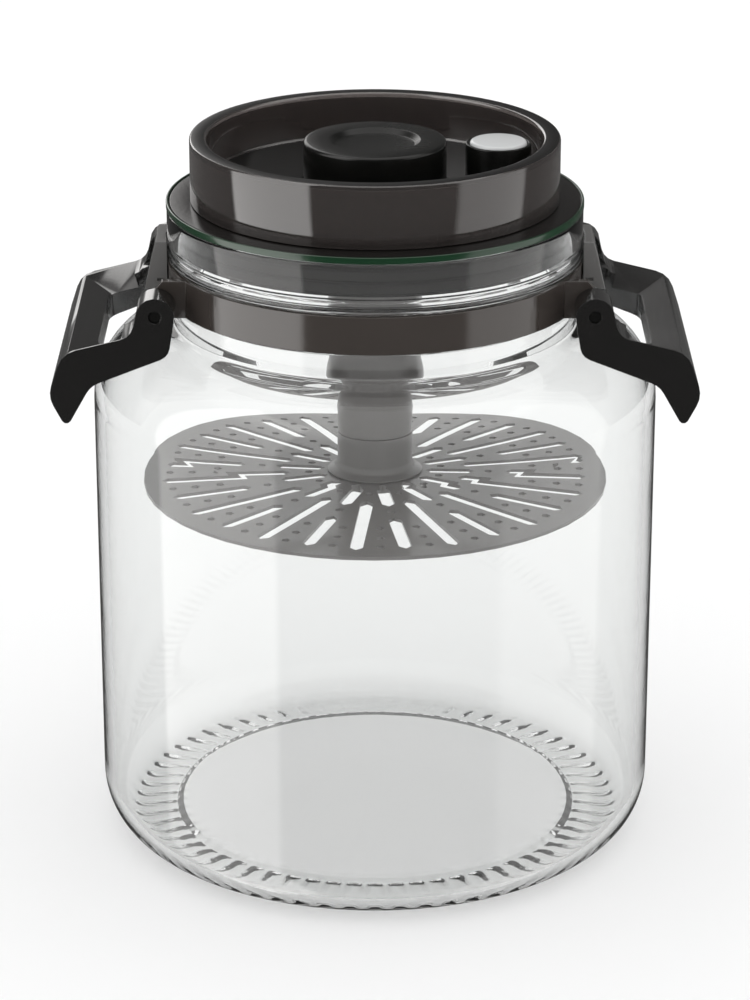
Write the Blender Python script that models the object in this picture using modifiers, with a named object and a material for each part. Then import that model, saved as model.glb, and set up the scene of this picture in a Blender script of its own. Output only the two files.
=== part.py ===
"""Pickle storage container: a clear jar with a smoked pump lid, two carrying latches
on the neck and a slotted press plate on a telescopic tube.

Metres, +Z up. The origin is the centre of the base, the latches lie on the X axis and the
front is -Y.
"""
import math

import bmesh
import bpy
from mathutils import Matrix, Vector

COLLECTION_NAME = "pickle_container"

# Fits that every piece shares
SEAT_GAP = 0.0003
RUN_GAP = 0.0004
OVERRUN = 0.003
SMALL_ROUND = 0.0008
SHARP_ANGLE = math.radians(32)

# Facets of round pieces, by size
JAR_STEPS = 48
LID_STEPS = 36
TUBE_STEPS = 20
PIN_STEPS = 10
FILLET_STEPS = 3

# Jar
BODY_RADIUS = 0.100
JAR_HEIGHT = 0.2319
JAR_WALL = 0.0035
BASE_THICKNESS = 0.004
PUSH_UP = 0.0022
HEEL_WIDTH = 0.016
HEEL_HEIGHT = 0.020
BASE_DISC_SPACE = 0.0106
BASE_DISC_RADIUS = BODY_RADIUS - HEEL_WIDTH - BASE_DISC_SPACE
SHOULDER_WIDTH = 0.027
NECK_RADIUS = BODY_RADIUS - SHOULDER_WIDTH
NECK_LENGTH = 0.0419
SHOULDER_HEIGHT = 0.027
MOUTH_WALL = 0.003
MOUTH_RADIUS = NECK_RADIUS - MOUTH_WALL
THROAT_STEP = 0.0025
THROAT_RADIUS = MOUTH_RADIUS - THROAT_STEP
SEAL_LAND = 0.0157
RIM_CHAMFER = 0.0010
BEAD_HEIGHT = 0.0024
BEAD_COUNT = 2
BEAD_DEPTH = 0.0009
SHOULDER_STEPS = 5
HEEL_STEPS = 3
FLUTE_COUNT = 48
FLUTE_INSET = 0.0118
FLUTE_OUTER_RADIUS = BODY_RADIUS - FLUTE_INSET
FLUTE_WIDTH = 0.0022
FLUTE_DEPTH = 0.0010

# Neck band and its latch ears
BAND_DROP = 0.0181
BAND_HEIGHT = 0.0133
BAND_RADIUS = NECK_RADIUS + SEAT_GAP
BAND_WALL = 0.0025
EAR_OUTER = 0.0330
EAR_THICKNESS = 0.0032
EAR_ROUND = 0.0045
PIVOT_OUTSET = 0.0019
PIVOT_RADIUS = BAND_RADIUS + PIVOT_OUTSET
PIVOT_RISE = 0.0045

# Lever: a U-shaped handle, seen from the side as a bent bar with a turned-down lip
LEVER_HALF_WIDTH = 0.046
LEVER_REACH = 0.0374
LEVER_DROP = 0.0402
KNUCKLE_RADIUS = 0.0067
WINDOW_HALF_WIDTH = 0.0293
WINDOW_REACH = 0.0211
LEVER_SKIN = 0.0036
CHEEK_WALL = 0.0030
DISH_DEPTH = 0.0052
EAR_CLEARANCE = 0.0006
SHOULDER_CLEARANCE = 0.0010
# Corners of the side view: share of the reach, share of the drop, fillet as a share of the reach
LEVER_OUTLINE_SHARES = (
    (0.225, 0.177, 0.22),
    (0.864, 0.323, 0.24),
    (1.000, 0.709, 0.25),
    (0.837, 1.000, 0.045),
    (0.604, 0.617, 0.22),
    (-0.118, 0.353, 0.14),
)

# Lug that stands on the band between each pair of ears, with a small slot in each end
LUG_HALF_WIDTH = 0.0110
LUG_FACE_RADIUS = BAND_RADIUS + SEAT_GAP
LUG_LOW_DROP = 0.0010
LUG_HEIGHT = 0.0173
LUG_FOOT_THICKNESS = 0.0071
LUG_FOOT_SLOPE = 0.0018
LUG_OUTLINE_SHARES = ((0.00, 1.00), (0.44, 0.75), (0.73, 0.60), (1.00, 0.41))
LUG_SLOT_WIDTH = 0.0026
LUG_SLOT_HEIGHT = 0.0010
LUG_SLOT_DEPTH = 0.0012
LUG_SLOT_RISE = 0.0031

# Handle pins
LEVER_PIN_RADIUS = 0.0020
PIN_INSET = 0.0006

# Lid base: flange, plug wall and floor
FLANGE_INSET = 0.0010
FLANGE_RADIUS = NECK_RADIUS - FLANGE_INSET
FLANGE_TOP_RISE = 0.0025
FLANGE_THICKNESS = 0.0011
PLUG_RADIUS = MOUTH_RADIUS - SEAT_GAP
PLUG_WALL = 0.0028
PLUG_DEPTH = 0.0120
PLUG_FLOOR = 0.0025
PLUG_GROOVE_COUNT = 3
PLUG_GROOVE_DEPTH = 0.0008
PLUG_PORT_RADIUS = 0.0040

# Gasket
GASKET_OVERHANG = 0.0002
GASKET_RADIUS = NECK_RADIUS + GASKET_OVERHANG
GASKET_LEG = 0.0008
GASKET_LIP_RISE = 0.0002

# Lid shell
SHELL_LEDGE = 0.0073
SHELL_RADIUS = FLANGE_RADIUS - SHELL_LEDGE
SHELL_WALL = 0.0022
SHELL_RIM_WIDTH = 0.0060
SHELL_HEIGHT = 0.0220
SHELL_FLOOR_DEPTH = 0.0162
SHELL_FLOOR = 0.0020

# Pump
KNOB_RADIUS = 0.0250
KNOB_WALL = 0.0020
KNOB_SINK = 0.0014
KNOB_SKIRT = 0.0143
KNOB_CROWN = 0.0033
KNOB_DISH_RADIUS = 0.0160
KNOB_DISH_DEPTH = 0.0016
PUMP_BORE_RADIUS = 0.0256
PUMP_WALL = 0.0020
PUMP_FLOOR = 0.0015
PUMP_TRAVEL = 0.0080
PISTON_HEIGHT = 0.0060
PISTON_WALL = 0.0025
PISTON_RADIUS = 0.0249
PISTON_SEAL_RADIUS = 0.02535
PISTON_SEAL_HEIGHT = 0.0016
PISTON_SEAL_DEPTH = 0.0015
ROD_RADIUS = 0.0035
PUMP_SPRING_RADIUS = 0.0090
PUMP_SPRING_WIRE = 0.0010
PUMP_SPRING_TURNS = 3
VALVE_RADIUS = 0.0062
VALVE_LIP = 0.0004
VALVE_CROWN = 0.0014
VALVE_STEM_RADIUS = 0.0016
VALVE_STEM_LENGTH = 0.0035

# Vent valve
VENT_INSET = 0.0157
VENT_OFFSET = SHELL_RADIUS - SHELL_RIM_WIDTH - VENT_INSET
VENT_RING_RADIUS = 0.0115
VENT_RING_WALL = 0.0011
VENT_RING_SINK = 0.0025
VENT_RING_FLOOR = 0.0020
VENT_BUTTON_RADIUS = 0.0100
VENT_BUTTON_WALL = 0.0016
VENT_BUTTON_HEIGHT = 0.0062
VENT_BUTTON_SINK = 0.0017
VENT_STEM_RADIUS = 0.0028
VENT_STEM_FOOT_RADIUS = 0.0050
VENT_STEM_FOOT = 0.0015
VENT_SEAL_RADIUS = 0.0075
VENT_SEAL_THICKNESS = 0.0024
VENT_SPRING_RADIUS = 0.0055
VENT_SPRING_WIRE = 0.0009
VENT_SPRING_TURNS = 4

# Telescopic tube
OUTER_TUBE_RADIUS = 0.0165
OUTER_TUBE_BORE = 0.0139
OUTER_TUBE_LENGTH = 0.0503
OUTER_TUBE_FLANGE_RADIUS = 0.0220
OUTER_TUBE_FLANGE = 0.0025
COLLAR_LIP_RADIUS = 0.0169
COLLAR_LIP_HEIGHT = 0.0037
COLLAR_END_RADIUS = 0.0162
INNER_TUBE_RADIUS = 0.0132
INNER_TUBE_BORE = 0.0112
INNER_TUBE_HEADROOM = 0.0046
SEAL_RING_RADIUS = 0.0136
SEAL_RING_HEIGHT = 0.0018
SEAL_RING_DEPTH = 0.0010
SEAL_RING_DROP = 0.0036

# Press plate and its hub
PLATE_CLEARANCE = 0.0132
PLATE_RADIUS = BODY_RADIUS - JAR_WALL - PLATE_CLEARANCE
PLATE_THICKNESS = 0.0012
PLATE_HANG = 0.0876
PLATE_HOLE_RADIUS = 0.0090
HUB_HEIGHT = 0.0165
HUB_SLEEVE_RADIUS = 0.0134
HUB_FLARE_RADIUS = 0.0170
HUB_FLARE_HEIGHT = 0.0044
HUB_BORE = 0.0070
HUB_SPIGOT_LENGTH = 0.0110
HUB_NUT_RADIUS = 0.0135
HUB_NUT_HEIGHT = 0.0025
SLOT_PAIRS = 14
SLOT_WIDTH = 0.0045
SLOT_START_ANGLE = math.radians(-82)
LONG_SLOT_SHARES = (0.372, 0.924)
INNER_SLOT_SHARES = (0.216, 0.432)
OUTER_SLOT_SHARES = (0.564, 0.912)
DOUBLE_HOLE_SHARE = 0.492
LONG_HOLE_SHARE = 0.288
GAP_HOLE_SHARES = (0.684, 0.792, 0.888)
PLATE_HOLE_SIZE = 0.0032
SLOT_END_STEPS = 2
PLATE_HOLE_STEPS = 5

# Levels worked out from the sizes above
SHOULDER_TOP_Z = JAR_HEIGHT - NECK_LENGTH
SHOULDER_LOW_Z = SHOULDER_TOP_Z - SHOULDER_HEIGHT
BAND_TOP_Z = JAR_HEIGHT - BAND_DROP
BAND_LOW_Z = BAND_TOP_Z - BAND_HEIGHT
BAND_BORE = BAND_RADIUS - BAND_WALL
GROOVE_RADIUS = BAND_BORE - SEAT_GAP
FLANGE_TOP_Z = JAR_HEIGHT + FLANGE_TOP_RISE
PLUG_LOW_Z = JAR_HEIGHT - PLUG_DEPTH
PLUG_FLOOR_Z = PLUG_LOW_Z + PLUG_FLOOR
SHELL_LOW_Z = FLANGE_TOP_Z + SEAT_GAP
SHELL_TOP_Z = SHELL_LOW_Z + SHELL_HEIGHT
SHELL_FLOOR_Z = SHELL_TOP_Z - SHELL_FLOOR_DEPTH
PIVOT_Z = BAND_LOW_Z + PIVOT_RISE
LUG_LOW_Z = PIVOT_Z - LUG_LOW_DROP
PUMP_LOW_Z = PLUG_FLOOR_Z + SEAT_GAP
PUMP_FLOOR_Z = PUMP_LOW_Z + PUMP_FLOOR
KNOB_TOP_Z = SHELL_TOP_Z - KNOB_SINK
PISTON_LOW_Z = PUMP_FLOOR_Z + PUMP_TRAVEL + SEAT_GAP
PISTON_TOP_Z = PISTON_LOW_Z + PISTON_HEIGHT
TUBE_TOP_Z = PLUG_LOW_Z - SEAT_GAP
TUBE_LOW_Z = TUBE_TOP_Z - OUTER_TUBE_LENGTH
PLATE_TOP_Z = PLUG_LOW_Z - PLATE_HANG
HUB_LOW_Z = PLATE_TOP_Z + SEAT_GAP
HUB_TOP_Z = HUB_LOW_Z + HUB_HEIGHT
INNER_TUBE_LOW_Z = HUB_TOP_Z + SEAT_GAP
INNER_TUBE_TOP_Z = TUBE_TOP_Z - INNER_TUBE_HEADROOM


def clear_scene():
    for old in list(bpy.data.objects):
        bpy.data.objects.remove(old, do_unlink=True)


def new_collection(name):
    collection = bpy.data.collections.new(name)
    bpy.context.scene.collection.children.link(collection)
    return collection


def material(name, colour, roughness, metallic=0.0, transmission=0.0, alpha=1.0):
    made = bpy.data.materials.new(name)
    made.use_nodes = True
    made.diffuse_color = (*colour, alpha)
    shader = made.node_tree.nodes["Principled BSDF"]
    shader.inputs["Base Color"].default_value = (*colour, 1.0)
    shader.inputs["Roughness"].default_value = roughness
    shader.inputs["Metallic"].default_value = metallic
    shader.inputs["Transmission Weight"].default_value = transmission
    return made


clear_scene()
PARTS = new_collection(COLLECTION_NAME)
CUTTERS = new_collection("cutters")


def add_object(name, mesh, finish=None, location=(0.0, 0.0, 0.0)):
    obj = bpy.data.objects.new(name, mesh)
    obj.location = location
    if finish is None:
        CUTTERS.objects.link(obj)
        obj.hide_render = True
        obj.display_type = "WIRE"
        return obj
    PARTS.objects.link(obj)
    mesh.materials.append(finish)
    return obj


def smooth(mesh):
    mesh.shade_smooth()
    mesh.set_sharp_from_angle(angle=SHARP_ANGLE)


def turns_down_outside(points):
    """True where a closed profile runs down its outer side."""
    twice_area = 0.0
    for (r0, z0), (r1, z1) in zip(points, points[1:] + points[:1]):
        twice_area += r0 * z1 - r1 * z0
    return twice_area < 0.0


def turned(name, profile, finish=None, steps=JAR_STEPS, location=(0.0, 0.0, 0.0)):
    """A body turned about Z from (radius, height) points. A profile that starts on the axis
    is open and ends there; any other is a closed ring."""
    points = list(profile)
    closed = points[0][0] > 0.0
    if not turns_down_outside(points):
        points.reverse()
    edges = [(i, i + 1) for i in range(len(points) - 1)]
    if closed:
        edges.append((len(points) - 1, 0))
    mesh = bpy.data.meshes.new(name)
    mesh.from_pydata([(r, 0.0, z) for r, z in points], edges, [])
    obj = add_object(name, mesh, finish, location)
    screw = obj.modifiers.new("turn", "SCREW")
    screw.axis = "Z"
    screw.steps = steps
    screw.render_steps = steps
    screw.use_merge_vertices = True
    screw.merge_threshold = 0.00001
    screw.use_smooth_shade = True
    depsgraph = bpy.context.evaluated_depsgraph_get()
    solid = bpy.data.meshes.new_from_object(obj.evaluated_get(depsgraph))
    obj.modifiers.clear()
    obj.data = solid
    bpy.data.meshes.remove(mesh)
    solid.name = name
    smooth(solid)
    return obj


def arc(centre, radius, start, end, steps):
    """Points on a circle, angles in degrees, both ends included."""
    points = []
    for i in range(steps + 1):
        angle = math.radians(start + (end - start) * i / steps)
        points.append((centre[0] + radius * math.cos(angle), centre[1] + radius * math.sin(angle)))
    return points


def quarter_ellipse(centre, width, height, start, end, steps):
    points = []
    for i in range(steps + 1):
        angle = math.radians(start + (end - start) * i / steps)
        points.append((centre[0] + width * math.cos(angle), centre[1] + height * math.sin(angle)))
    return points


def filleted(corners):
    """A closed outline from (x, z, fillet) corners, with each corner rounded by an arc."""
    points = []
    count = len(corners)
    for i, (x, z, radius) in enumerate(corners):
        here = Vector((x, z))
        if radius <= 0.0:
            points.append((x, z))
            continue
        before = Vector(corners[i - 1][:2])
        after = Vector(corners[(i + 1) % count][:2])
        to_before = (before - here).normalized()
        to_after = (after - here).normalized()
        half = to_before.angle(to_after) / 2
        reach = min(radius / math.tan(half), (before - here).length / 2, (after - here).length / 2)
        start = here + to_before * reach
        end = here + to_after * reach
        centre = here + (to_before + to_after).normalized() * reach / math.cos(half)
        first = math.atan2(start.y - centre.y, start.x - centre.x)
        last = math.atan2(end.y - centre.y, end.x - centre.x)
        sweep = (last - first + math.pi) % (2 * math.pi) - math.pi
        size = (start - centre).length
        for step in range(FILLET_STEPS + 1):
            angle = first + sweep * step / FILLET_STEPS
            points.append((centre.x + size * math.cos(angle), centre.y + size * math.sin(angle)))
    return points


def flat_solid(name, loops, thickness):
    """A plate from closed loops of 2D points, centred on its own XY plane."""
    curve = bpy.data.curves.new(name, "CURVE")
    curve.dimensions = "2D"
    curve.fill_mode = "BOTH"
    curve.extrude = thickness / 2
    for loop in loops:
        spline = curve.splines.new("POLY")
        spline.points.add(len(loop) - 1)
        for point, (x, y) in zip(spline.points, loop):
            point.co = (x, y, 0.0, 1.0)
        spline.use_cyclic_u = True
    holder = bpy.data.objects.new(name, curve)
    CUTTERS.objects.link(holder)
    depsgraph = bpy.context.evaluated_depsgraph_get()
    mesh = bpy.data.meshes.new_from_object(holder.evaluated_get(depsgraph))
    bpy.data.objects.remove(holder, do_unlink=True)
    bpy.data.curves.remove(curve)
    shape = bmesh.new()
    shape.from_mesh(mesh)
    bmesh.ops.remove_doubles(shape, verts=shape.verts, dist=0.00001)
    bmesh.ops.recalc_face_normals(shape, faces=shape.faces)
    shape.to_mesh(mesh)
    shape.free()
    mesh.name = name
    return mesh


def side_solid(name, outline, half_width, finish=None, centre_y=0.0):
    """A solid from an outline in the XZ plane, as wide along Y as twice half_width."""
    mesh = flat_solid(name, [outline], half_width * 2)
    mesh.transform(Matrix.Rotation(math.radians(90), 4, "X"))
    mesh.transform(Matrix.Translation((0.0, centre_y, 0.0)))
    return add_object(name, mesh, finish)


def cylinder_mesh(name, radius, length, steps):
    shape = bmesh.new()
    bmesh.ops.create_cone(shape, cap_ends=True, segments=steps, radius1=radius, radius2=radius,
                          depth=length)
    mesh = bpy.data.meshes.new(name)
    shape.to_mesh(mesh)
    shape.free()
    smooth(mesh)
    return mesh


def box_mesh(name, low, high):
    shape = bmesh.new()
    bmesh.ops.create_cube(shape, size=1.0)
    mesh = bpy.data.meshes.new(name)
    shape.to_mesh(mesh)
    shape.free()
    size = Vector(high) - Vector(low)
    centre = (Vector(high) + Vector(low)) / 2
    mesh.transform(Matrix.Translation(centre) @ Matrix.Diagonal((*size, 1.0)))
    return mesh


def joined_mesh(name, meshes):
    shape = bmesh.new()
    for mesh in meshes:
        shape.from_mesh(mesh)
        bpy.data.meshes.remove(mesh)
    mesh = bpy.data.meshes.new(name)
    shape.to_mesh(mesh)
    shape.free()
    return mesh


def boolean(obj, cutter, operation="DIFFERENCE"):
    modifier = obj.modifiers.new(cutter.name, "BOOLEAN")
    modifier.operation = operation
    modifier.solver = "EXACT"
    modifier.object = cutter


def bake(obj):
    """Fixes the Booleans of a piece in its mesh, so that copies and mirrors can be made."""
    depsgraph = bpy.context.evaluated_depsgraph_get()
    mesh = bpy.data.meshes.new_from_object(obj.evaluated_get(depsgraph))
    obj.modifiers.clear()
    obj.data = mesh
    mesh.name = obj.name
    smooth(mesh)


def put_origin(obj, point):
    """Moves a piece's origin to a point on its joint's axis, with its shape left in place."""
    obj.data.transform(Matrix.Translation(-Vector(point)))
    obj.location = point


def mirrored(obj, name):
    """The same piece on the other side of the jar, as its own object."""
    mesh = obj.data.copy()
    mesh.transform(Matrix.Scale(-1.0, 4, (1.0, 0.0, 0.0)))
    mesh.flip_normals()
    mesh.name = name
    copy = bpy.data.objects.new(name, mesh)
    copy.location = (-obj.location.x, obj.location.y, obj.location.z)
    PARTS.objects.link(copy)
    return copy


def coil(name, radius, wire, turns, low, high, finish, centre_x=0.0):
    """A compression spring between two heights, wound as one wire."""
    points_a_turn = 9
    count = turns * points_a_turn
    curve = bpy.data.curves.new(name, "CURVE")
    curve.dimensions = "3D"
    curve.bevel_depth = wire / 2
    curve.bevel_resolution = 1
    curve.use_fill_caps = True
    spline = curve.splines.new("POLY")
    spline.points.add(count)
    start = low + wire / 2
    rise = high - low - wire
    for i, point in enumerate(spline.points):
        angle = 2 * math.pi * i / points_a_turn
        height = start + rise * i / count
        point.co = (radius * math.cos(angle), radius * math.sin(angle), height, 1.0)
    holder = bpy.data.objects.new(name, curve)
    CUTTERS.objects.link(holder)
    depsgraph = bpy.context.evaluated_depsgraph_get()
    mesh = bpy.data.meshes.new_from_object(holder.evaluated_get(depsgraph))
    bpy.data.objects.remove(holder, do_unlink=True)
    bpy.data.curves.remove(curve)
    shape = bmesh.new()
    shape.from_mesh(mesh)
    bmesh.ops.remove_doubles(shape, verts=shape.verts, dist=0.00001)
    shape.to_mesh(mesh)
    shape.free()
    smooth(mesh)
    return add_object(name, mesh, finish, (centre_x, 0.0, 0.0))


# Finishes, with the colours of the real pieces
CLEAR = material("clear_glass", (0.90, 0.93, 0.92), 0.03, transmission=0.9, alpha=0.35)
SMOKE = material("smoke_plastic", (0.045, 0.038, 0.035), 0.12, transmission=0.5, alpha=0.8)
DARK = material("dark_plastic", (0.030, 0.027, 0.025), 0.25)
BLACK = material("black_plastic", (0.010, 0.010, 0.010), 0.30)
BAND = material("band_plastic", (0.075, 0.062, 0.055), 0.25)
GREEN = material("green_silicone", (0.02, 0.22, 0.08), 0.45)
PALE = material("pale_plastic", (0.55, 0.56, 0.56), 0.35)
GREY = material("grey_plastic", (0.17, 0.16, 0.155), 0.40)
RUBBER = material("white_silicone", (0.60, 0.60, 0.58), 0.60)
STEEL = material("steel", (0.55, 0.55, 0.56), 0.25, metallic=1.0)


def jar_outer_profile(offset=0.0):
    """The jar's outer side from the neck down to the heel, grown outwards by an offset."""
    points = [(GROOVE_RADIUS + SEAT_GAP * 3, SHOULDER_TOP_Z + BEAD_HEIGHT * 4)]
    points.append((GROOVE_RADIUS + SEAT_GAP * 3, SHOULDER_TOP_Z + BEAD_HEIGHT / 2))
    points += quarter_ellipse((NECK_RADIUS, SHOULDER_LOW_Z), SHOULDER_WIDTH, SHOULDER_HEIGHT,
                              90, 0, SHOULDER_STEPS)
    heel_centre = (BODY_RADIUS - HEEL_WIDTH, HEEL_HEIGHT)
    points += quarter_ellipse(heel_centre, HEEL_WIDTH, HEEL_HEIGHT, 0, -90, HEEL_STEPS)
    return [(r + offset, z) for r, z in points]


def make_jar():
    wall_radius = BODY_RADIUS - JAR_WALL
    floor_z = PUSH_UP + BASE_THICKNESS
    seal_low_z = JAR_HEIGHT - SEAL_LAND
    inner_shoulder_height = SHOULDER_HEIGHT - JAR_WALL
    inner = [(0.0, floor_z), (BASE_DISC_RADIUS - PUSH_UP, floor_z)]
    inner += quarter_ellipse((BODY_RADIUS - HEEL_WIDTH, HEEL_HEIGHT), HEEL_WIDTH - JAR_WALL,
                             HEEL_HEIGHT - BASE_THICKNESS, -90, 0, HEEL_STEPS)
    inner += quarter_ellipse((NECK_RADIUS, SHOULDER_LOW_Z), wall_radius - NECK_RADIUS,
                             inner_shoulder_height, 0, 90, SHOULDER_STEPS)
    inner.append((THROAT_RADIUS, SHOULDER_TOP_Z))
    inner.append((THROAT_RADIUS, seal_low_z - JAR_WALL))
    inner.append((MOUTH_RADIUS, seal_low_z))
    inner.append((MOUTH_RADIUS, JAR_HEIGHT))
    outer = [(NECK_RADIUS - RIM_CHAMFER, JAR_HEIGHT), (NECK_RADIUS, JAR_HEIGHT - RIM_CHAMFER)]
    bead_zone_top = BAND_TOP_Z + SEAT_GAP + BEAD_HEIGHT * BEAD_COUNT + SEAT_GAP
    for bead in range(BEAD_COUNT):
        top = bead_zone_top - BEAD_HEIGHT * bead
        outer.append((NECK_RADIUS - BEAD_DEPTH, top))
        outer.append((NECK_RADIUS, top - BEAD_HEIGHT * 0.35))
        outer.append((NECK_RADIUS, top - BEAD_HEIGHT * 0.70))
    outer.insert(2, (NECK_RADIUS, bead_zone_top + BEAD_DEPTH))
    groove_top = BAND_TOP_Z + SEAT_GAP
    outer.append((GROOVE_RADIUS, groove_top))
    groove_low = BAND_LOW_Z - SEAT_GAP
    outer.append((GROOVE_RADIUS, groove_low))
    outer += jar_outer_profile()
    outer.append((BASE_DISC_RADIUS, 0.0))
    outer.append((BASE_DISC_RADIUS - PUSH_UP, PUSH_UP))
    outer.append((0.0, PUSH_UP))
    jar = turned("jar_body", inner + outer, CLEAR)
    flutes = []
    pitch = 2 * math.pi / FLUTE_COUNT
    for i in range(FLUTE_COUNT):
        low = (BASE_DISC_RADIUS + SMALL_ROUND, -FLUTE_WIDTH / 2, -OVERRUN)
        high = (FLUTE_OUTER_RADIUS, FLUTE_WIDTH / 2, FLUTE_DEPTH)
        flute = box_mesh("flute", low, high)
        flute.transform(Matrix.Rotation(pitch * (i + 0.5), 4, "Z"))
        flutes.append(flute)
    boolean(jar, add_object("flute_cutter", joined_mesh("flutes", flutes)))
    bake(jar)


def ear_outline():
    """Side view of an ear: it leaves the band at full height and rounds off on the pivot."""
    points = [(BAND_BORE - EAR_OUTER / 3, BAND_LOW_Z)]
    points.append((PIVOT_RADIUS, PIVOT_Z - EAR_ROUND))
    points += arc((PIVOT_RADIUS, PIVOT_Z), EAR_ROUND, -75, 60, FILLET_STEPS + 1)
    points.append((BAND_RADIUS, BAND_TOP_Z))
    points.append((BAND_BORE - EAR_OUTER / 3, BAND_TOP_Z))
    return points


def make_neck_band():
    ears = []
    for side in (-1, 1):
        for end in (-1, 1):
            centre_y = end * (EAR_OUTER - EAR_THICKNESS / 2)
            mesh = flat_solid("ear", [ear_outline()], EAR_THICKNESS)
            mesh.transform(Matrix.Rotation(math.radians(90), 4, "X"))
            mesh.transform(Matrix.Translation((0.0, centre_y, 0.0)))
            if side < 0:
                mesh.transform(Matrix.Rotation(math.pi, 4, "Z"))
            ears.append(mesh)
    ear_solids = add_object("ear_solids", joined_mesh("ears", ears))
    middle_radius = BAND_RADIUS - BAND_WALL / 2
    high_z = BAND_TOP_Z + OVERRUN
    low_z = BAND_LOW_Z - OVERRUN
    root_cutter = turned("ear_root_cutter", [(0.0, high_z), (middle_radius, high_z),
                                             (middle_radius, low_z), (0.0, low_z)])
    boolean(ear_solids, root_cutter)
    holes = []
    for side in (-1, 1):
        hole = cylinder_mesh("hole", LEVER_PIN_RADIUS + SEAT_GAP, (EAR_OUTER + OVERRUN) * 2, PIN_STEPS)
        hole.transform(Matrix.Rotation(math.radians(90), 4, "X"))
        hole.transform(Matrix.Translation((side * PIVOT_RADIUS, 0.0, PIVOT_Z)))
        holes.append(hole)
    boolean(ear_solids, add_object("ear_hole_cutter", joined_mesh("ear_holes", holes)))
    band = turned("neck_band", [(BAND_BORE, BAND_LOW_Z), (BAND_BORE, BAND_TOP_Z),
                                (BAND_RADIUS, BAND_TOP_Z), (BAND_RADIUS, BAND_LOW_Z)], BAND)
    boolean(band, ear_solids, "UNION")
    bake(band)


def lever_corners():
    corners = []
    for reach_share, drop_share, fillet_share in LEVER_OUTLINE_SHARES:
        x = PIVOT_RADIUS + LEVER_REACH * reach_share
        z = PIVOT_Z - LEVER_DROP * drop_share
        corners.append((x, z, LEVER_REACH * fillet_share))
    return corners


def lever_outline():
    corners = lever_corners()
    knuckle = arc((PIVOT_RADIUS, PIVOT_Z), KNUCKLE_RADIUS, 195, 0, FILLET_STEPS * 3)
    ends = [(x, z, 0.0) for x, z in (knuckle[0], knuckle[-1])]
    loop = filleted([ends[0], ends[1]] + corners)
    return knuckle + loop[2:]


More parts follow.
